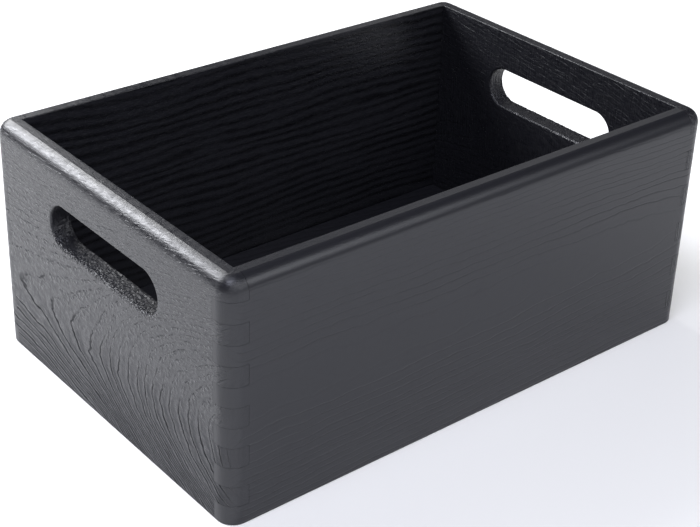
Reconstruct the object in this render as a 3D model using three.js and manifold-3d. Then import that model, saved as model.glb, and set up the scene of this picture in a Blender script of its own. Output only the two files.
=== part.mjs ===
// Open wooden box with a hand hole in each end. Four boards are box-jointed at the corners
// round a bottom panel, which is set between them, flush with the underside.
// Millimetres, +Z up. X runs along the long sides and Y along the ends. The origin is under
// the middle of the box, on the surface that it stands on.

import * as THREE from 'three';
import { mergeVertices } from 'three/addons/utils/BufferGeometryUtils.js';
import Module from 'manifold-3d';

// Overall size
const LENGTH = 300;
const WIDTH = 200;
const HEIGHT = 126;

// Boards
const BOARD = 11;
const BOTTOM_THICKNESS = 8;

// Rounded edges: the upright corners, and the quarter-round along the outside of the rim
const CORNER_RADIUS = 9;
const RIM_RADIUS = 6.2;
const CORNER_SEGMENTS = 5;
const RIM_SEGMENTS = 6;

// Box joints: the lowest finger belongs to a long board and the highest to an end board
const FINGERS = 12;
const FINGER_HEIGHT = HEIGHT / FINGERS;
const SEAM = 0.3;

// Hand holes, one in each end board, with their edges eased on both faces
const HOLE_LENGTH = 92.5;
const HOLE_HEIGHT = 22.5;
const HOLE_CENTRE_Z = 92;
const HOLE_EDGE_RADIUS = 1.25;
const HOLE_END_SEGMENTS = 9;
const HOLE_EDGE_SEGMENTS = 3;

// Satin black stain
const STAINED_WALL = 0x38383c;
const STAINED_BOTTOM = 0x2c2c30;
const STAIN_ROUGHNESS = 0.45;

// Room past a face that a cutting block needs to leave no skin behind
const OVERCUT = 2;
const HOLE_OVERCUT = 0.02;
const MERGE_TOLERANCE = 1e-4;

const INSIDE_LENGTH = LENGTH - 2 * BOARD;
const INSIDE_WIDTH = WIDTH - 2 * BOARD;

const wasm = await Module();
wasm.setup();

function toSolid(geometry) {
  geometry.deleteAttribute('normal');
  geometry.deleteAttribute('uv');
  const merged = mergeVertices(geometry, MERGE_TOLERANCE);
  const vertProperties = new Float32Array(merged.attributes.position.array);
  const triVerts = new Uint32Array(merged.index.array);
  return new wasm.Manifold(new wasm.Mesh({ numProp: 3, vertProperties, triVerts }));
}

function toGeometry(solid) {
  const mesh = solid.getMesh();
  const indexed = new THREE.BufferGeometry();
  indexed.setAttribute('position', new THREE.BufferAttribute(mesh.vertProperties, 3));
  indexed.setIndex(new THREE.BufferAttribute(mesh.triVerts, 1));
  const geometry = indexed.toNonIndexed();
  geometry.computeVertexNormals();
  return geometry;
}

// A block that spans two opposite corners, each given as [x, y, z].
function block(low, high) {
  const size = high.map((value, axis) => value - low[axis]);
  const middle = high.map((value, axis) => (value + low[axis]) / 2);
  return toSolid(new THREE.BoxGeometry(...size).translate(...middle));
}

function roundedRectangle(length, width, radius) {
  const shape = new THREE.Shape();
  const x = length / 2 - radius;
  const y = width / 2 - radius;
  shape.absarc(x, -y, radius, -Math.PI / 2, 0);
  shape.absarc(x, y, radius, 0, Math.PI / 2);
  shape.absarc(-x, y, radius, Math.PI / 2, Math.PI);
  shape.absarc(-x, -y, radius, Math.PI, 1.5 * Math.PI);
  return shape;
}

// The outline that the bevel starts from lies inside the box's plan by the rim radius, so the
// bevel grows it to full size as a quarter-round. The lower bevel falls below the underside,
// where the walls are cut off square.
function outerForm() {
  const below = RIM_RADIUS + OVERCUT;
  const inset = 2 * RIM_RADIUS;
  const top = roundedRectangle(LENGTH - inset, WIDTH - inset, CORNER_RADIUS - RIM_RADIUS);
  const geometry = new THREE.ExtrudeGeometry(top, {
    depth: HEIGHT - RIM_RADIUS + below,
    bevelSize: RIM_RADIUS,
    bevelThickness: RIM_RADIUS,
    bevelSegments: RIM_SEGMENTS,
    curveSegments: CORNER_SEGMENTS,
  });
  return toSolid(geometry.translate(0, 0, -below));
}

function wallRing() {
  const x = INSIDE_LENGTH / 2;
  const y = INSIDE_WIDTH / 2;
  const inside = block([-x, -y, -OVERCUT], [x, y, HEIGHT + OVERCUT]);
  const above = block([-LENGTH, -WIDTH, 0], [LENGTH, WIDTH, HEIGHT + OVERCUT]);
  return outerForm().intersect(above).subtract(inside);
}

// The sockets that a board leaves for its neighbours' fingers. xSide and ySide say which of
// the box's four corners, and owner is 0 for the long boards' fingers and 1 for the ends'.
function fingerSockets(xSide, ySide, owner) {
  const slackX = owner === 1 ? SEAM : 0;
  const slackY = owner === 0 ? SEAM : 0;
  const x = [xSide * (INSIDE_LENGTH / 2 - slackX), xSide * (LENGTH / 2 + OVERCUT)];
  const y = [ySide * (INSIDE_WIDTH / 2 - slackY), ySide * (WIDTH / 2 + OVERCUT)];
  const sockets = [];
  for (let finger = owner; finger < FINGERS; finger += 2) {
    const isLowest = finger === 0;
    const isHighest = finger === FINGERS - 1;
    const bottom = finger * FINGER_HEIGHT - (isLowest ? OVERCUT : SEAM / 2);
    const top = (finger + 1) * FINGER_HEIGHT + (isHighest ? OVERCUT : SEAM / 2);
    const low = [Math.min(...x), Math.min(...y), bottom];
    const high = [Math.max(...x), Math.max(...y), top];
    sockets.push(block(low, high));
  }
  return sockets;
}

function cutSockets(board, corners, owner) {
  let result = board;
  for (const [xSide, ySide] of corners) {
    for (const socket of fingerSockets(xSide, ySide, owner)) {
      result = result.subtract(socket);
    }
  }
  return result;
}

// A long board, on the -Y side of the box for ySide -1 and on the +Y side for ySide 1.
function longBoard(ring, ySide) {
  const edges = [ySide * INSIDE_WIDTH / 2, ySide * (WIDTH / 2 + OVERCUT)];
  const low = [-LENGTH, Math.min(...edges), -OVERCUT];
  const high = [LENGTH, Math.max(...edges), HEIGHT + OVERCUT];
  const corners = [[-1, ySide], [1, ySide]];
  return cutSockets(ring.intersect(block(low, high)), corners, 1);
}

// An obround plug as thick as a board. Its ends flare outwards by the edge radius along a
// quarter circle, which eases the hole that it leaves.
function handHole(xSide) {
  const radius = HOLE_HEIGHT / 2;
  const middle = (HOLE_LENGTH - HOLE_HEIGHT) / 2;
  const outline = new THREE.Shape();
  outline.absarc(0, middle, radius, 0, Math.PI);
  outline.absarc(0, -middle, radius, Math.PI, 2 * Math.PI);
  const depth = BOARD + HOLE_OVERCUT - 2 * HOLE_EDGE_RADIUS;
  const geometry = new THREE.ExtrudeGeometry(outline, {
    depth,
    bevelSize: -HOLE_EDGE_RADIUS,
    bevelOffset: HOLE_EDGE_RADIUS,
    bevelThickness: HOLE_EDGE_RADIUS,
    bevelSegments: HOLE_EDGE_SEGMENTS,
    curveSegments: HOLE_END_SEGMENTS,
  });
  geometry.translate(0, 0, -depth / 2);
  geometry.rotateY(Math.PI / 2);
  geometry.translate(xSide * (LENGTH - BOARD) / 2, 0, HOLE_CENTRE_Z);
  return toSolid(geometry);
}

// An end board, on the -X side of the box for xSide -1 and on the +X side for xSide 1.
function endBoard(ring, xSide) {
  const edges = [xSide * INSIDE_LENGTH / 2, xSide * (LENGTH / 2 + OVERCUT)];
  const low = [Math.min(...edges), -WIDTH, -OVERCUT];
  const high = [Math.max(...edges), WIDTH, HEIGHT + OVERCUT];
  const corners = [[xSide, -1], [xSide, 1]];
  const board = cutSockets(ring.intersect(block(low, high)), corners, 0);
  return board.subtract(handHole(xSide));
}

function bottomPanel() {
  const x = INSIDE_LENGTH / 2 - SEAM;
  const y = INSIDE_WIDTH / 2 - SEAM;
  return block([-x, -y, 0], [x, y, BOTTOM_THICKNESS]);
}

function addPiece(box, name, solid, color) {
  const material = new THREE.MeshStandardMaterial({ color, roughness: STAIN_ROUGHNESS, metalness: 0 });
  const mesh = new THREE.Mesh(toGeometry(solid), material);
  mesh.name = name;
  box.add(mesh);
}

const box = new THREE.Group();
const ring = wallRing();
addPiece(box, 'front_panel', longBoard(ring, -1), STAINED_WALL);
addPiece(box, 'back_panel', longBoard(ring, 1), STAINED_WALL);
addPiece(box, 'left_end_panel', endBoard(ring, -1), STAINED_WALL);
addPiece(box, 'right_end_panel', endBoard(ring, 1), STAINED_WALL);
addPiece(box, 'bottom_panel', bottomPanel(), STAINED_BOTTOM);

export default box;
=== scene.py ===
import math

import bmesh
import bpy
import numpy as np
from mathutils import Matrix, Vector, noise


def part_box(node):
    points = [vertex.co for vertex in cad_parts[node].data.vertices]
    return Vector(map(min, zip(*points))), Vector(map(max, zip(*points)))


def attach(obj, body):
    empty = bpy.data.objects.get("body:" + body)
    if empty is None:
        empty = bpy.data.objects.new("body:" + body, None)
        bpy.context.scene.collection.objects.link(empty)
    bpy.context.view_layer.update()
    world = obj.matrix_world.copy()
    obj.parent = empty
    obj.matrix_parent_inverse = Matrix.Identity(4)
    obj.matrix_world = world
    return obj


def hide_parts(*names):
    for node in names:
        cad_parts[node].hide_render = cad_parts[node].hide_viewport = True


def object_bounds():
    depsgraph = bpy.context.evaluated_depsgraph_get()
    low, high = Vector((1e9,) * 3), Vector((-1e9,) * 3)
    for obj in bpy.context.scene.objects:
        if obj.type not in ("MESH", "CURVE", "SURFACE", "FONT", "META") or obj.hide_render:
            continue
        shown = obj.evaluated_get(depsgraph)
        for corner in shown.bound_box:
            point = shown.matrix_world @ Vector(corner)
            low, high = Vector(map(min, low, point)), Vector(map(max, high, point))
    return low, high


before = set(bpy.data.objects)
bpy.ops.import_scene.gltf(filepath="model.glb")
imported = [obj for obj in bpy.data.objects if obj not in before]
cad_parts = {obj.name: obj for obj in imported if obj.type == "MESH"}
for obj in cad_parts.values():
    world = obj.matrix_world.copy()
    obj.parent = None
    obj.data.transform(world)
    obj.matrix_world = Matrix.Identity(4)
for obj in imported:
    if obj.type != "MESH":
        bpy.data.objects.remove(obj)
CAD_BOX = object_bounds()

# ---------------------------------------------------------------------------------------
# Sizes, in metres, in the box's own frame: X along the long sides, Y along the ends, Z up
# ---------------------------------------------------------------------------------------
MM = 0.001
LOW, HIGH = CAD_BOX
LENGTH, WIDTH, HEIGHT = HIGH - LOW
FRONT_LOW, FRONT_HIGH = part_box("front_panel")
BOARD = FRONT_HIGH.y - FRONT_LOW.y
BOTTOM_LOW, BOTTOM_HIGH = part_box("bottom_panel")
INSIDE_X = LENGTH / 2 - BOARD
INSIDE_Y = WIDTH / 2 - BOARD

CORNER_RADIUS = 9 * MM
ROUND_RADIUS = 7.6 * MM        # the round-over along the outside of the rim
ROUND_INSET = 6.2 * MM         # how far it eats into the rim, where it stops at an arris
RIM_EASE = 0.5 * MM            # the inner edge of the rim
FOOT_EASE = 0.7 * MM           # the edges that the box stands on
FINGERS = 12
FINGER_HEIGHT = HEIGHT / FINGERS
SEAM = 0.12 * MM               # between fingers
CUT_SLACK = 0.05 * MM          # past the walls' inside, so that no skin is left
BOTTOM_GAP = 0.15 * MM         # between the bottom board and the walls
BOTTOM_EASE = 0.4 * MM
HOLE_LENGTH = 92.5 * MM
HOLE_HEIGHT = 22.5 * MM
HOLE_CENTRE = 92 * MM
HOLE_EASE = 1.25 * MM
GRID = 2 * MM
FINE_GRID = 0.8 * MM           # round the hand holes
TEAR = 0.35 * MM               # how ragged the lower edges of the hand holes are
TEAR_PITCH = 0.9 * MM
TEAR_ELSEWHERE = 0.3           # how ragged the upper edges are, against the lower ones
TORN_DEPTH = 6 * MM            # how far the torn fibres reach in from the outer face
TORN_BELOW = HOLE_HEIGHT / 4   # how far under the hole's middle they start
WELD = 1e-4 * MM

CORNER_STEPS = 16
ROUND_STEPS = 12
EASE_STEP = math.radians(9)
SHARP_ANGLE = math.radians(11)  # edges that turn by more than this stay crisp


# ---------------------------------------------------------------------------------------
# Mesh helpers
# ---------------------------------------------------------------------------------------
def steps(start, end, size):
    """Evenly spaced values from start up to, but without, end."""
    count = max(1, round(abs(end - start) / size))
    return [start + (end - start) * i / count for i in range(count)]


def new_object(name, verts, faces):
    mesh = bpy.data.meshes.new(name)
    mesh.from_pydata([tuple(v) for v in verts], [], faces)
    work = bmesh.new()
    work.from_mesh(mesh)
    bmesh.ops.remove_doubles(work, verts=work.verts, dist=WELD)
    bmesh.ops.recalc_face_normals(work, faces=work.faces)
    work.to_mesh(mesh)
    work.free()
    piece = bpy.data.objects.new(name, mesh)
    bpy.context.scene.collection.objects.link(piece)
    return piece


def loft(loops, closed):
    """Joins loops of equally many points into quads. A closed loft joins the last loop to
    the first, and an open one is capped at both ends."""
    count = len(loops[0])
    verts = [p for loop in loops for p in loop]
    faces = []
    for i in range(len(loops) if closed else len(loops) - 1):
        a, b = i * count, (i + 1) % len(loops) * count
        for j in range(count):
            k = (j + 1) % count
            faces.append((a + j, a + k, b + k, b + j))
    if not closed:
        faces.append(tuple(range(count))[::-1])
        faces.append(tuple((len(loops) - 1) * count + j for j in range(count)))
    return verts, faces


def boolean(piece, cutter, operation):
    change = piece.modifiers.new(operation.lower(), "BOOLEAN")
    change.object = cutter
    change.operation = operation
    change.solver = "EXACT"
    graph = bpy.context.evaluated_depsgraph_get()
    result = bpy.data.meshes.new_from_object(piece.evaluated_get(graph))
    piece.modifiers.clear()
    old = piece.data
    piece.data = result
    bpy.data.meshes.remove(old)


def discard(piece):
    mesh = piece.data
    bpy.data.objects.remove(piece)
    bpy.data.meshes.remove(mesh)


# ---------------------------------------------------------------------------------------
# The ring of four walls, before it is cut into boards
# ---------------------------------------------------------------------------------------
def plan(inset):
    """The box's outline in plan, moved in by inset, as points that match from one inset to
    the next. Past the corner radius the corners are sharp."""
    radius = max(CORNER_RADIUS - inset, 0)
    x = LENGTH / 2 - max(inset, CORNER_RADIUS)
    y = WIDTH / 2 - max(inset, CORNER_RADIUS)
    full_x, full_y = LENGTH / 2 - CORNER_RADIUS, WIDTH / 2 - CORNER_RADIUS
    points = []
    corners = ((1, -1, -90), (1, 1, 0), (-1, 1, 90), (-1, -1, 180))
    for side, (sx, sy, start) in enumerate(corners):
        along = full_y if side % 2 == 0 else full_x
        for i in range(CORNER_STEPS):
            angle = math.radians(start + 90 * i / CORNER_STEPS)
            points.append((sx * x + radius * math.cos(angle),
                           sy * y + radius * math.sin(angle)))
        for share in steps(-1, 1, GRID / along):
            if side == 0:
                points.append((x + radius, y * share))
            elif side == 1:
                points.append((-x * share, y + radius))
            elif side == 2:
                points.append((-x - radius, -y * share))
            else:
                points.append((x * share, -y - radius))
    return np.array(points)


def wall_section():
    """The walls' section as (inset, height) pairs: up the outside, over the rim, down the
    inside and back under."""
    end_angle = math.acos(1 - ROUND_INSET / ROUND_RADIUS)
    round_start = HEIGHT - ROUND_RADIUS * math.sin(end_angle)
    section = []
    for angle in steps(0, math.pi / 2, EASE_STEP):
        section.append((FOOT_EASE * (1 - math.sin(angle)), FOOT_EASE * (1 - math.cos(angle))))
    section += [(0, z) for z in steps(FOOT_EASE, round_start, GRID)]
    for angle in steps(0, end_angle, end_angle / ROUND_STEPS):
        section.append((ROUND_RADIUS * (1 - math.cos(angle)),
                        round_start + ROUND_RADIUS * math.sin(angle)))
    section += [(inset, HEIGHT) for inset in steps(ROUND_INSET, BOARD - RIM_EASE, GRID / 2)]
    for angle in steps(0, math.pi / 2, EASE_STEP):
        section.append((BOARD - RIM_EASE * (1 - math.sin(angle)),
                        HEIGHT - RIM_EASE * (1 - math.cos(angle))))
    section += [(BOARD, z) for z in steps(HEIGHT - RIM_EASE, 0, GRID)]
    section += [(inset, 0) for inset in steps(BOARD, FOOT_EASE, GRID)]
    return section


def wall_ring():
    inner = plan(BOARD)
    arris = plan(ROUND_INSET)
    loops = []
    for inset, z in wall_section():
        if inset <= ROUND_INSET:
            outline = plan(inset)
        else:
            share = (inset - ROUND_INSET) / (BOARD - ROUND_INSET)
            outline = arris + (inner - arris) * share
        loops.append([(px, py, z) for px, py in outline])
    return new_object("wall_ring", *loft(loops, closed=True))


# ---------------------------------------------------------------------------------------
# Cutting the ring into four box-jointed boards
# ---------------------------------------------------------------------------------------
def comb(inside, outside, owner):
    """The outline of a board with its fingers, as (along, height) points. owner is 0 for
    the long boards, which have the lowest finger, and 1 for the ends."""
    heights = [k * FINGER_HEIGHT for k in range(FINGERS + 1)]
    heights[0] -= GRID
    heights[-1] += GRID
    right = []
    for k in range(FINGERS):
        own = k % 2 == owner
        reach = outside if own else inside - SEAM
        pull = -SEAM / 2 if own else SEAM / 2
        low = heights[k] - (pull if k else 0)
        high = heights[k + 1] + (pull if k < FINGERS - 1 else 0)
        right += [(reach, low), (reach, high)]
    left = [(-along, z) for along, z in reversed(right)]
    return right + left


def board_cutter(owner, side):
    """A block that holds one board's share of the ring and nothing of its neighbours'."""
    if owner == 0:
        outline = comb(INSIDE_X - CUT_SLACK, LENGTH, owner)
        loops = [[(along, side * y, z) for along, z in outline]
                 for y in (INSIDE_Y - CUT_SLACK, WIDTH)]
    else:
        outline = comb(INSIDE_Y - CUT_SLACK, WIDTH, owner)
        loops = [[(side * x, along, z) for along, z in outline]
                 for x in (INSIDE_X - CUT_SLACK, LENGTH)]
    return new_object("cutter", *loft(loops, closed=False))


def obround(radius, middle):
    """Points round a slot with half-round ends, at even steps, as (along, up)."""
    turn_steps = round(math.pi * HOLE_HEIGHT / 2 / FINE_GRID)
    points = []
    for side in (1, -1):
        for i in range(turn_steps):
            angle = math.pi * i / turn_steps - side * math.pi / 2
            points.append((side * middle + radius * math.cos(angle), radius * math.sin(angle)))
        points += [(y, side * radius) for y in steps(side * middle, -side * middle, FINE_GRID)]
    return points


def hole_cutter(side):
    """The obround hand hole as a solid, flaring at both faces of the board by its eased
    edge."""
    middle = (HOLE_LENGTH - HOLE_HEIGHT) / 2
    half = BOARD / 2
    profile = [(half + GRID, HOLE_EASE * 2)]
    for angle in steps(0, math.pi / 2, EASE_STEP):
        profile.append((half - HOLE_EASE * (1 - math.cos(angle)),
                        HOLE_EASE * (1 - math.sin(angle))))
    profile += [(x, 0) for x in steps(half - HOLE_EASE, 0, FINE_GRID)]
    profile += [(0, 0)] + [(-x, flare) for x, flare in reversed(profile)]
    loops = []
    for across, flare in profile:
        x = side * (LENGTH - BOARD) / 2 + across
        loops.append([(x, y, HOLE_CENTRE + z)
                      for y, z in obround(HOLE_HEIGHT / 2 + flare, middle)])
    return new_object("hole", *loft(loops, closed=False))


def fray_hole(piece):
    """Marks the cut surface of a hand hole and its torn outer edge along the bottom, and
    leaves the edges ragged where the fibres tore."""
    for mark in ("cut", "torn"):
        piece.data.attributes.new(mark, "FLOAT", "POINT")
    cut, torn = piece.data.attributes["cut"], piece.data.attributes["torn"]
    middle = (HOLE_LENGTH - HOLE_HEIGHT) / 2
    for vertex, is_cut, is_torn in zip(piece.data.vertices, cut.data, torn.data):
        place = vertex.co
        beyond = max(abs(place.y) - middle, 0)
        outward = Vector((0, math.copysign(beyond, place.y), place.z - HOLE_CENTRE))
        if outward.length > HOLE_HEIGHT / 2 + HOLE_EASE * 1.01:
            continue
        is_cut.value = 1.0
        from_face = LENGTH / 2 - abs(place.x)
        if outward.z < -TORN_BELOW:
            is_torn.value = max(0.0, 1 - from_face / TORN_DEPTH)
        tear = TEAR if outward.z < 0 else TEAR * TEAR_ELSEWHERE
        vertex.co = place + outward.normalized() * tear * noise.noise(place / TEAR_PITCH)


def cut_board(ring, name, owner, side):
    piece = bpy.data.objects.new(name, ring.data.copy())
    piece.data.name = name
    bpy.context.scene.collection.objects.link(piece)
    cutter = board_cutter(owner, side)
    boolean(piece, cutter, "INTERSECT")
    discard(cutter)
    if owner == 1:
        hole = hole_cutter(side)
        boolean(piece, hole, "DIFFERENCE")
        discard(hole)
        fray_hole(piece)
    return piece


def bottom_board():
    x, y = INSIDE_X - BOTTOM_GAP, INSIDE_Y - BOTTOM_GAP
    bottom, top = BOTTOM_LOW.z, BOTTOM_HIGH.z
    ease = BOTTOM_EASE
    loops = []
    for inset, z in ((ease, bottom), (0, bottom + ease), (0, top - ease), (ease, top)):
        hx, hy = x - inset, y - inset
        loop = [(a, -hy, z) for a in steps(-hx, hx, GRID * 3)]
        loop += [(hx, a, z) for a in steps(-hy, hy, GRID * 3)]
        loop += [(a, hy, z) for a in steps(hx, -hx, GRID * 3)]
        loop += [(-hx, a, z) for a in steps(hy, -hy, GRID * 3)]
        loops.append(loop)
    return new_object("bottom_board", *loft(loops, closed=False))


# ---------------------------------------------------------------------------------------
# Material: pine under a thin satin black stain, solid through each board
# ---------------------------------------------------------------------------------------
class Net:
    """Short names for making shader nodes. Places are in millimetres."""

    def __init__(self, material):
        material.use_nodes = True
        self.tree = material.node_tree
        self.tree.nodes.clear()

    def node(self, kind, **settings):
        made = self.tree.nodes.new(kind)
        for key, value in settings.items():
            setattr(made, key, value)
        return made

    def put(self, socket, value):
        if isinstance(value, bpy.types.NodeSocket):
            self.tree.links.new(value, socket)
        else:
            socket.default_value = value

    def math(self, operation, *values):
        made = self.node("ShaderNodeMath", operation=operation)
        for socket, value in zip(made.inputs, values):
            self.put(socket, value)
        return made.outputs[0]

    def add(self, *terms):
        total = terms[0]
        for term in terms[1:]:
            total = self.math("ADD", total, term)
        return total

    def minus(self, a, b):
        return self.math("SUBTRACT", a, b)

    def times(self, *factors):
        product = factors[0]
        for factor in factors[1:]:
            product = self.math("MULTIPLY", product, factor)
        return product

    def mix(self, share, a, b):
        """A number that goes from a to b as share goes from 0 to 1."""
        return self.add(self.times(share, b), self.times(self.minus(1.0, share), a))

    def ramp(self, value, low, high, out_low=0.0, out_high=1.0):
        made = self.node("ShaderNodeMapRange", interpolation_type="SMOOTHSTEP")
        for name, number in (("Value", value), ("From Min", low), ("From Max", high),
                             ("To Min", out_low), ("To Max", out_high)):
            self.put(made.inputs[name], number)
        return made.outputs["Result"]

    def scaled(self, place, *scales):
        return [self.times(value, scale) for value, scale in zip(place, scales)]

    def noise(self, place, seed=0.0, detail=1.0, roughness=0.5):
        """Smooth noise round 0, mostly between -1 and 1. place is three numbers, and one
        step of any of them is one blob of the noise."""
        vector = self.node("ShaderNodeCombineXYZ")
        for socket, value in zip(vector.inputs, (place[0], place[1], self.add(place[2], seed))):
            self.put(socket, value)
        made = self.node("ShaderNodeTexNoise")
        self.put(made.inputs["Vector"], vector.outputs[0])
        made.inputs["Scale"].default_value = 1.0
        made.inputs["Detail"].default_value = detail
        made.inputs["Roughness"].default_value = roughness
        return self.times(self.minus(made.outputs["Fac"], 0.5), 4.0)


# How each board was sawn, in mm:
#   along, across, through: the axes of its length, width and thickness
#   heart, heart_depth: how high the tree's heart lies above the box's base, or for the
#       bottom board where it lies across it, and how far behind the outer face
#   ring: the width of a year's ring
#   above, below: how the rings spread on each side of the heart, as how fast at first and
#       how far out they have drawn together
#   base_lean, leans: how the heart turns out of the board, and the places where it turns
#       more, as (place along the board, length of the turn, slope)
#   broken: how far the ring lines break up above the heart
#   fades: where they fade out on the way up, as (from, to, what is left)
#   line, stain, relief: half the least width of a ring's dark line, how dark and how deep
#   flat: how much of a line is left where the face runs level with the rings
#   nap, sanding: how rough it is between the lines, and how deeply scratched across
#   streaks: how much the stain varies from fibre to fibre
#   waves: how far the rings waver over a few centimetres, in years
STRAIGHT = (1.0, 1e4)
NO_FADE = (500.0, 501.0, 1.0)
BOARDS = {
    "left_end_board": dict(
        along="Y", across="Z", through="X", heart=41, heart_depth=27.2, ring=3.4,
        above=(0.7, 120), below=(1.0, 200), base_lean=0.042,
        leans=[(58, 10, 0.167), (8, 10, 0.25)], broken=1.0, fades=(100, 116, 0.5),
        line=0.45, stain=1.0, relief=2.7, flat=1.0, nap=2.9, streaks=0.12, sanding=0.0,
        waves=0.2, seed=1.0),
    "right_end_board": dict(
        along="Y", across="Z", through="X", heart=60, heart_depth=36, ring=2.8,
        above=STRAIGHT, below=STRAIGHT, base_lean=-0.12,
        leans=[(-20, 20, -0.1)], broken=0.5, fades=NO_FADE,
        line=0.6, stain=0.4, relief=0.35, flat=1.0, nap=4.0, streaks=0.4, sanding=8.0,
        waves=0.25, seed=7.0),
    "front_board": dict(
        along="X", across="Z", through="Y", heart=64, heart_depth=35, ring=2.7,
        above=STRAIGHT, below=STRAIGHT, base_lean=0.012,
        leans=[], broken=0.3, fades=(80, 112, 0.45),
        line=0.5, stain=0.3, relief=0.45, flat=0.15, nap=0.15, streaks=0.12, sanding=0.0,
        waves=0.15, seed=13.0),
    "back_board": dict(
        along="X", across="Z", through="Y", heart=230, heart_depth=25, ring=5.2,
        above=STRAIGHT, below=STRAIGHT, base_lean=0.004,
        leans=[(-80, 20, -0.08)], broken=0.0, fades=NO_FADE,
        line=1.9, stain=1.0, relief=-0.1, flat=1.0, nap=2.6, streaks=0.4, sanding=0.0,
        waves=0.1, seed=19.0),
    "bottom_board": dict(
        along="X", across="Y", through="Z", heart=20, heart_depth=45, ring=3.4,
        above=STRAIGHT, below=STRAIGHT, base_lean=0.14,
        leans=[], broken=0.3, fades=NO_FADE,
        line=0.5, stain=0.8, relief=0.4, flat=1.0, nap=0.8, streaks=0.3, sanding=0.5,
        waves=0.12, seed=29.0),
}
OUTER_FACE = {"X": LENGTH / 2 / MM, "Y": WIDTH / 2 / MM, "Z": 0.0}
LEAST_TILT = 0.08              # keeps a ring's width finite where the face runs level with it
UPPER_LINES = 0.45             # how strong the broken lines above the heart are
FADED_ON_ROUNDS = 0.3          # how much of a line is left on edges and rounded corners
FADED_ON_ENDS = 0.15           # how much is left on end grain and in the hand holes

STAIN = (0.0098, 0.0100, 0.0132, 1)
DARK_STAIN = (0.0022, 0.0022, 0.0032, 1)
SHEEN_TINT = (0.95, 0.965, 1.0, 1)
STROKE_STAIN = 0.15            # how much darker the strokes are, of the way to DARK_STAIN
ROUGHNESS = 0.36
# What is added to the roughness
LINE_ROUGHNESS = 0.3
STROKE_ROUGHNESS = 0.04
SPECKLE_ROUGHNESS = 0.02
END_GRAIN_ROUGHNESS = 0.05
TORN_ROUGHNESS = -0.1

# How far the rings waver, in years: slowly over the board, and from year to year
DRIFT_YEARS = 0.5
UNEVEN_YEARS = 0.3

# Heights in mm, which a board's relief, nap or sanding multiplies
LINE_DEPTH = 0.25
RIDGE_HEIGHT = 0.2
STROKE_HEIGHT = 0.018
FIBRE_HEIGHT = 0.008
SPECKLE_HEIGHT = 0.006
SCRATCH_HEIGHT = 0.02
# Heights in mm that are the same on all boards
STROKE_HEIGHT_ON_ROUNDS = 0.003
SPECKLE_HEIGHT_ON_ROUNDS = 0.016
FIBRE_HEIGHT_ON_EDGES = 0.02
SPECKLE_HEIGHT_IN_CUTS = 0.035
SPLINTER_HEIGHT = 0.36

# Blobs of noise per mm along, across and through a board
DRIFT = (0.012, 0.025, 0.025)
WAVES = (0.07, 0.13, 0.13)
FIBRES = (0.15, 1.5, 1.5)
SCRATCHES = (1.3, 0.06, 1.0)
SPLINTERS = (0.8, 0.9, 0.9)
SPECKLE = 1.2
SPECKLE_UP_ENDS = 0.3
# Blobs of noise per year, and per mm along and across a board
BREAKS = (1.6, 0.4, 0.4)
STROKES = (4.0, 0.3, 0.3)


def growth_rings(net, along, across, through, board):
    """Years of growth, counted out from the tree's heart, how wide a year is on the
    surface, and how steeply the rings meet it."""
    seed = board["seed"]
    rise = net.minus(across, float(board["heart"]))
    under = net.math("LESS_THAN", rise, 0.0)
    first = net.mix(under, board["above"][0], board["below"][0])
    reach = net.mix(under, board["above"][1], board["below"][1])
    growing = net.math("POWER", net.math("DIVIDE", rise, reach), 2.0)
    spread = net.times(rise, net.add(first, growing))
    deep = net.add(net.math("ABSOLUTE", through),
                   board["heart_depth"] - OUTER_FACE[board["through"]])
    distance = net.math("SQRT", net.add(net.times(spread, spread), net.times(deep, deep)))
    years = net.math("DIVIDE", net.add(distance, heart_lean(net, along, board)), board["ring"])

    place = (along, across, through)
    slow = net.noise(net.scaled(place, *DRIFT), seed)
    wave = net.noise(net.scaled(place, *WAVES), seed, detail=2.0)
    uneven = net.noise((net.times(years, 0.4), 0.0, 0.0), seed)
    tilt = net.math("DIVIDE", spread, distance)
    steepness = net.math("SQRT", net.add(net.times(tilt, tilt), LEAST_TILT))
    width = net.math("DIVIDE", board["ring"], steepness)
    years = net.add(years, net.times(slow, DRIFT_YEARS), net.times(wave, board["waves"]),
                    net.times(uneven, UNEVEN_YEARS))
    return years, width, tilt


def heart_lean(net, along, board):
    """How far the heart has turned away from the board at a place along it."""
    lean = net.times(along, board["base_lean"])
    for place, width, slope in board["leans"]:
        past = net.minus(along, float(place))
        bend = net.minus(past, net.math("SQRT", net.add(net.times(past, past), width ** 2)))
        lean = net.add(lean, net.times(bend, slope / 2))
    return lean


def line_strength(net, years, tilt, along, across, board, face):
    """How much of each year's line and ridge shows: they break up above the heart, fade in
    places, and are weak on the rounded edges, the end grain and the cut surfaces."""
    seed = board["seed"]
    breaks = net.noise(net.scaled((years, along, across), *BREAKS), seed)
    past_heart = net.ramp(net.minus(across, float(board["heart"])), -6.0, 14.0)
    broken = net.mix(net.times(past_heart, board["broken"]), 1.0,
                     net.ramp(breaks, -0.2, 0.7, 0.0, UPPER_LINES))
    fading = net.noise((net.times(years, 0.3), net.times(along, 0.02), 0.0), seed + 3.0)
    fades_from, fades_to, fades_by = board["fades"]
    rough_cut = net.math("MAXIMUM", face["end_grain"], face["cut"])
    return net.times(broken, net.ramp(fading, -0.8, 0.4, 0.6, 1.0),
                     net.ramp(across, fades_from, fades_to, 1.0, fades_by),
                     net.ramp(net.math("ABSOLUTE", tilt), 0.1, 0.55, board["flat"], 1.0),
                     net.mix(face["outward"], FADED_ON_ROUNDS, 1.0),
                     net.ramp(rough_cut, 0.0, 1.0, 1.0, FADED_ON_ENDS))


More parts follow.
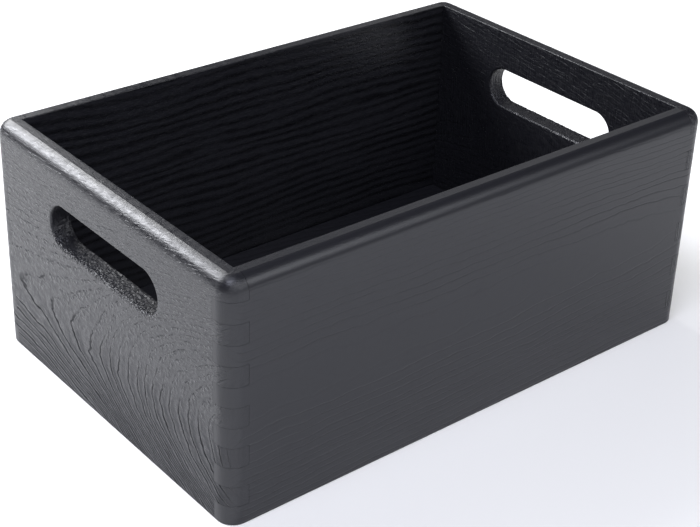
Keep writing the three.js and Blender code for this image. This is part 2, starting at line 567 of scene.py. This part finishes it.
def year_lines(net, place, board, face):
    """A thin dark line that closes each year, the low ridge of late wood beside it, and the
    years themselves."""
    along, across, through = place
    years, width, tilt = growth_rings(net, along, across, through, board)
    phase = net.math("FRACT", years)
    from_middle = net.math("ABSOLUTE", net.minus(phase, 0.5))
    from_line = net.times(net.minus(0.5, from_middle), width)
    line = net.ramp(from_line, 0.0, net.add(board["line"], net.times(width, 0.05)), 1.0, 0.0)
    ridge = net.times(net.ramp(phase, 0.3, 0.85), net.ramp(phase, 0.9, 1.0, 1.0, 0.0))
    strength = line_strength(net, years, tilt, along, across, board, face)
    return net.times(line, strength), net.times(ridge, strength), years


def surface_marks(net, place, years, board, face):
    """Short strokes that follow the rings, fine fibres that follow the board, the speckle
    of cut fibres, which runs up the board on its ends, sanding scratches across the board,
    and splinters, each as noise round 0."""
    along, across, _ = place
    seed = board["seed"]
    up = net.mix(face["end_grain"], SPECKLE, SPECKLE_UP_ENDS)
    return {
        "strokes": net.noise(net.scaled((years, along, across), *STROKES), seed, detail=2.0),
        "fibres": net.noise(net.scaled(place, *FIBRES), seed, detail=2.0, roughness=0.6),
        "speckle": net.noise(net.scaled(place, SPECKLE, up, SPECKLE), seed,
                             detail=2.0, roughness=0.6),
        "scratches": net.noise(net.scaled(place, *SCRATCHES), seed),
        "splinters": net.noise(net.scaled(place, *SPLINTERS), seed),
    }


def surface_height(net, line, ridge, marks, board, face):
    """The relief of the surface, in mm."""
    nap, relief = board["nap"], board["relief"]
    stroke = net.mix(face["outward"], STROKE_HEIGHT_ON_ROUNDS, STROKE_HEIGHT * nap)
    fibre = net.mix(face["edge"], FIBRE_HEIGHT * nap, FIBRE_HEIGHT_ON_EDGES)
    speckle = net.mix(face["outward"], SPECKLE_HEIGHT_ON_ROUNDS, SPECKLE_HEIGHT * nap)
    return net.add(net.times(line, -LINE_DEPTH * relief),
                   net.times(ridge, RIDGE_HEIGHT * relief),
                   net.times(marks["strokes"], stroke),
                   net.times(marks["fibres"], fibre),
                   net.times(marks["splinters"], face["torn"], SPLINTER_HEIGHT),
                   net.times(marks["speckle"], speckle),
                   net.times(marks["speckle"], face["cut"], SPECKLE_HEIGHT_IN_CUTS),
                   net.times(marks["scratches"], SCRATCH_HEIGHT * board["sanding"]))


def stained_pine(name, board):
    material = bpy.data.materials.new(name)
    net = Net(material)
    coords = net.node("ShaderNodeTexCoord")
    position = net.node("ShaderNodeSeparateXYZ")
    net.put(position.inputs[0], coords.outputs["Object"])
    normal = net.node("ShaderNodeSeparateXYZ")
    net.put(normal.inputs[0], coords.outputs["Normal"])
    place = [net.times(position.outputs[board[axis]], 1 / MM)
             for axis in ("along", "across", "through")]
    turned = {axis: net.math("ABSOLUTE", normal.outputs[board[axis]])
              for axis in ("along", "across", "through")}
    face = {
        "end_grain": net.ramp(turned["along"], 0.6, 0.9),
        "edge": net.ramp(turned["across"], 0.7, 0.95),
        "outward": net.ramp(turned["through"], 0.85, 0.99),
        "cut": net.node("ShaderNodeAttribute", attribute_name="cut").outputs["Fac"],
        "torn": net.node("ShaderNodeAttribute", attribute_name="torn").outputs["Fac"],
    }
    line, ridge, years = year_lines(net, place, board, face)
    marks = surface_marks(net, place, years, board, face)

    shader = net.node("ShaderNodeBsdfPrincipled")
    colour = net.node("ShaderNodeMix", data_type="RGBA")
    darkness = net.add(net.times(line, board["stain"]),
                       net.times(marks["strokes"], STROKE_STAIN),
                       net.times(marks["fibres"], board["streaks"]))
    net.put(colour.inputs["Factor"], darkness)
    colour.inputs["A"].default_value = STAIN
    colour.inputs["B"].default_value = DARK_STAIN
    net.put(shader.inputs["Base Color"], colour.outputs["Result"])
    rough = net.add(ROUGHNESS, net.times(line, LINE_ROUGHNESS * board["relief"]),
                    net.times(marks["strokes"], STROKE_ROUGHNESS * board["nap"]),
                    net.times(marks["speckle"], SPECKLE_ROUGHNESS * board["nap"]),
                    net.times(face["end_grain"], END_GRAIN_ROUGHNESS),
                    net.times(face["torn"], TORN_ROUGHNESS))
    net.put(shader.inputs["Roughness"], rough)
    shader.inputs["Specular Tint"].default_value = SHEEN_TINT

    bump = net.node("ShaderNodeBump")
    bump.inputs["Strength"].default_value = 1.0
    bump.inputs["Distance"].default_value = MM
    net.put(bump.inputs["Height"], surface_height(net, line, ridge, marks, board, face))
    net.put(shader.inputs["Normal"], bump.outputs["Normal"])
    output = net.node("ShaderNodeOutputMaterial")
    net.put(output.inputs["Surface"], shader.outputs[0])
    return material


# ---------------------------------------------------------------------------------------
# Build
# ---------------------------------------------------------------------------------------
ring = wall_ring()
pieces = {
    "front_board": cut_board(ring, "front_board", 0, -1),
    "back_board": cut_board(ring, "back_board", 0, 1),
    "left_end_board": cut_board(ring, "left_end_board", 1, -1),
    "right_end_board": cut_board(ring, "right_end_board", 1, 1),
    "bottom_board": bottom_board(),
}
discard(ring)

NODE_OF = {
    "front_board": "front_panel",
    "back_board": "back_panel",
    "left_end_board": "left_end_panel",
    "right_end_board": "right_end_panel",
    "bottom_board": "bottom_panel",
}
for name, piece in pieces.items():
    piece.data.materials.clear()
    piece.data.materials.append(stained_pine(name + "_pine", BOARDS[name]))
    piece.data.shade_smooth()
    piece.data.set_sharp_from_angle(angle=SHARP_ANGLE)
    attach(piece, "root")
    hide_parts(NODE_OF[name])


# ---------------------------------------------------------------------------------------
# Camera: the box seen from its near left corner
# ---------------------------------------------------------------------------------------
CAMERA_AZIMUTH = math.radians(-39.857)
CAMERA_ELEVATION = math.radians(28.002)
CAMERA_ROLL = math.radians(1.947)
CAMERA_DISTANCE = 847.323 * MM
CAMERA_ASIDE = -2.469 * MM
CAMERA_UP = 62.034 * MM
LENS = 80.856
SENSOR_WIDTH = 36
LENS_SHIFT = (0.00751, -0.07479)


def make_camera():
    azimuth, elevation, roll = CAMERA_AZIMUTH, CAMERA_ELEVATION, CAMERA_ROLL
    back = Vector((math.sin(azimuth) * math.cos(elevation),
                   -math.cos(azimuth) * math.cos(elevation), math.sin(elevation)))
    right = Vector((0, 0, 1)).cross(back).normalized()
    up = back.cross(right)
    turned_right = math.cos(roll) * right + math.sin(roll) * up
    turned_up = -math.sin(roll) * right + math.cos(roll) * up
    place = CAMERA_ASIDE * turned_right + CAMERA_UP * turned_up + CAMERA_DISTANCE * back
    data = bpy.data.cameras.new("camera")
    data.lens = LENS
    data.sensor_width = SENSOR_WIDTH
    data.shift_x, data.shift_y = LENS_SHIFT
    camera = bpy.data.objects.new("camera", data)
    turn = Matrix((turned_right, turned_up, back)).transposed()
    camera.matrix_world = Matrix.Translation(place) @ turn.to_4x4()
    bpy.context.scene.collection.objects.link(camera)
    bpy.context.scene.camera = camera


# ---------------------------------------------------------------------------------------
# Floor and light
# ---------------------------------------------------------------------------------------
FLOOR_REACH = 6.0
FLOOR_COLOUR = (0.95, 0.95, 0.945, 1)
FLOOR_ROUGHNESS = 0.8
WORLD_STRENGTH = 0.03


def make_floor():
    turns = ((-1, -1), (1, -1), (1, 1), (-1, 1))
    corners = [(x * FLOOR_REACH, y * FLOOR_REACH, 0) for x, y in turns]
    floor = new_object("floor", corners, [(0, 1, 2, 3)])
    material = bpy.data.materials.new("pale_floor")
    net = Net(material)
    shader = net.node("ShaderNodeBsdfPrincipled")
    shader.inputs["Base Color"].default_value = FLOOR_COLOUR
    shader.inputs["Roughness"].default_value = FLOOR_ROUGHNESS
    output = net.node("ShaderNodeOutputMaterial")
    net.put(output.inputs["Surface"], shader.outputs[0])
    floor.data.materials.append(material)


SOFTBOX_DISTANCE = 1.4
SOFTBOX_SIZE = 0.62
COOL = (0.985, 0.99, 1.02)
NEUTRAL = (1.0, 1.0, 1.0)
BLUE = (0.94, 0.96, 1.1)
# name: (degrees clockwise from behind the box, degrees above the floor, radiance, colour)
SOFTBOXES = {
    "back_left_softbox": (-30, 36, 18.0, COOL),
    "back_softbox": (0, 36, 9.0, NEUTRAL),
    "left_softbox": (-120, 62, 7.0, BLUE),
    "front_softbox": (180, 36, 6.6, COOL),
    "front_left_softbox": (-150, 36, 1.4, COOL),
    "front_right_softbox": (150, 36, 2.8, COOL),
    "back_right_softbox": (50, 30, 0.6, NEUTRAL),
}


def softbox(name, azimuth, elevation, radiance, colour):
    """A square area light that faces the middle of the box's base."""
    turn, lift = math.radians(azimuth), math.radians(elevation)
    away = Vector((math.sin(turn) * math.cos(lift), math.cos(turn) * math.cos(lift),
                   math.sin(lift)))
    data = bpy.data.lights.new(name, "AREA")
    data.shape = "SQUARE"
    data.size = SOFTBOX_SIZE
    data.energy = radiance * math.pi * SOFTBOX_SIZE ** 2
    data.color = colour
    light = bpy.data.objects.new(name, data)
    light.location = away * SOFTBOX_DISTANCE
    light.rotation_euler = away.to_track_quat("Z", "Y").to_euler()
    light.visible_camera = False
    bpy.context.scene.collection.objects.link(light)


def make_world():
    world = bpy.data.worlds.new("studio")
    bpy.context.scene.world = world
    world.use_nodes = True
    background = world.node_tree.nodes["Background"]
    background.inputs["Color"].default_value = (1, 1, 1, 1)
    background.inputs["Strength"].default_value = WORLD_STRENGTH


make_camera()
make_floor()
make_world()
for light_name, setting in SOFTBOXES.items():
    softbox(light_name, *setting)
bpy.context.scene.view_settings.view_transform = "Standard"
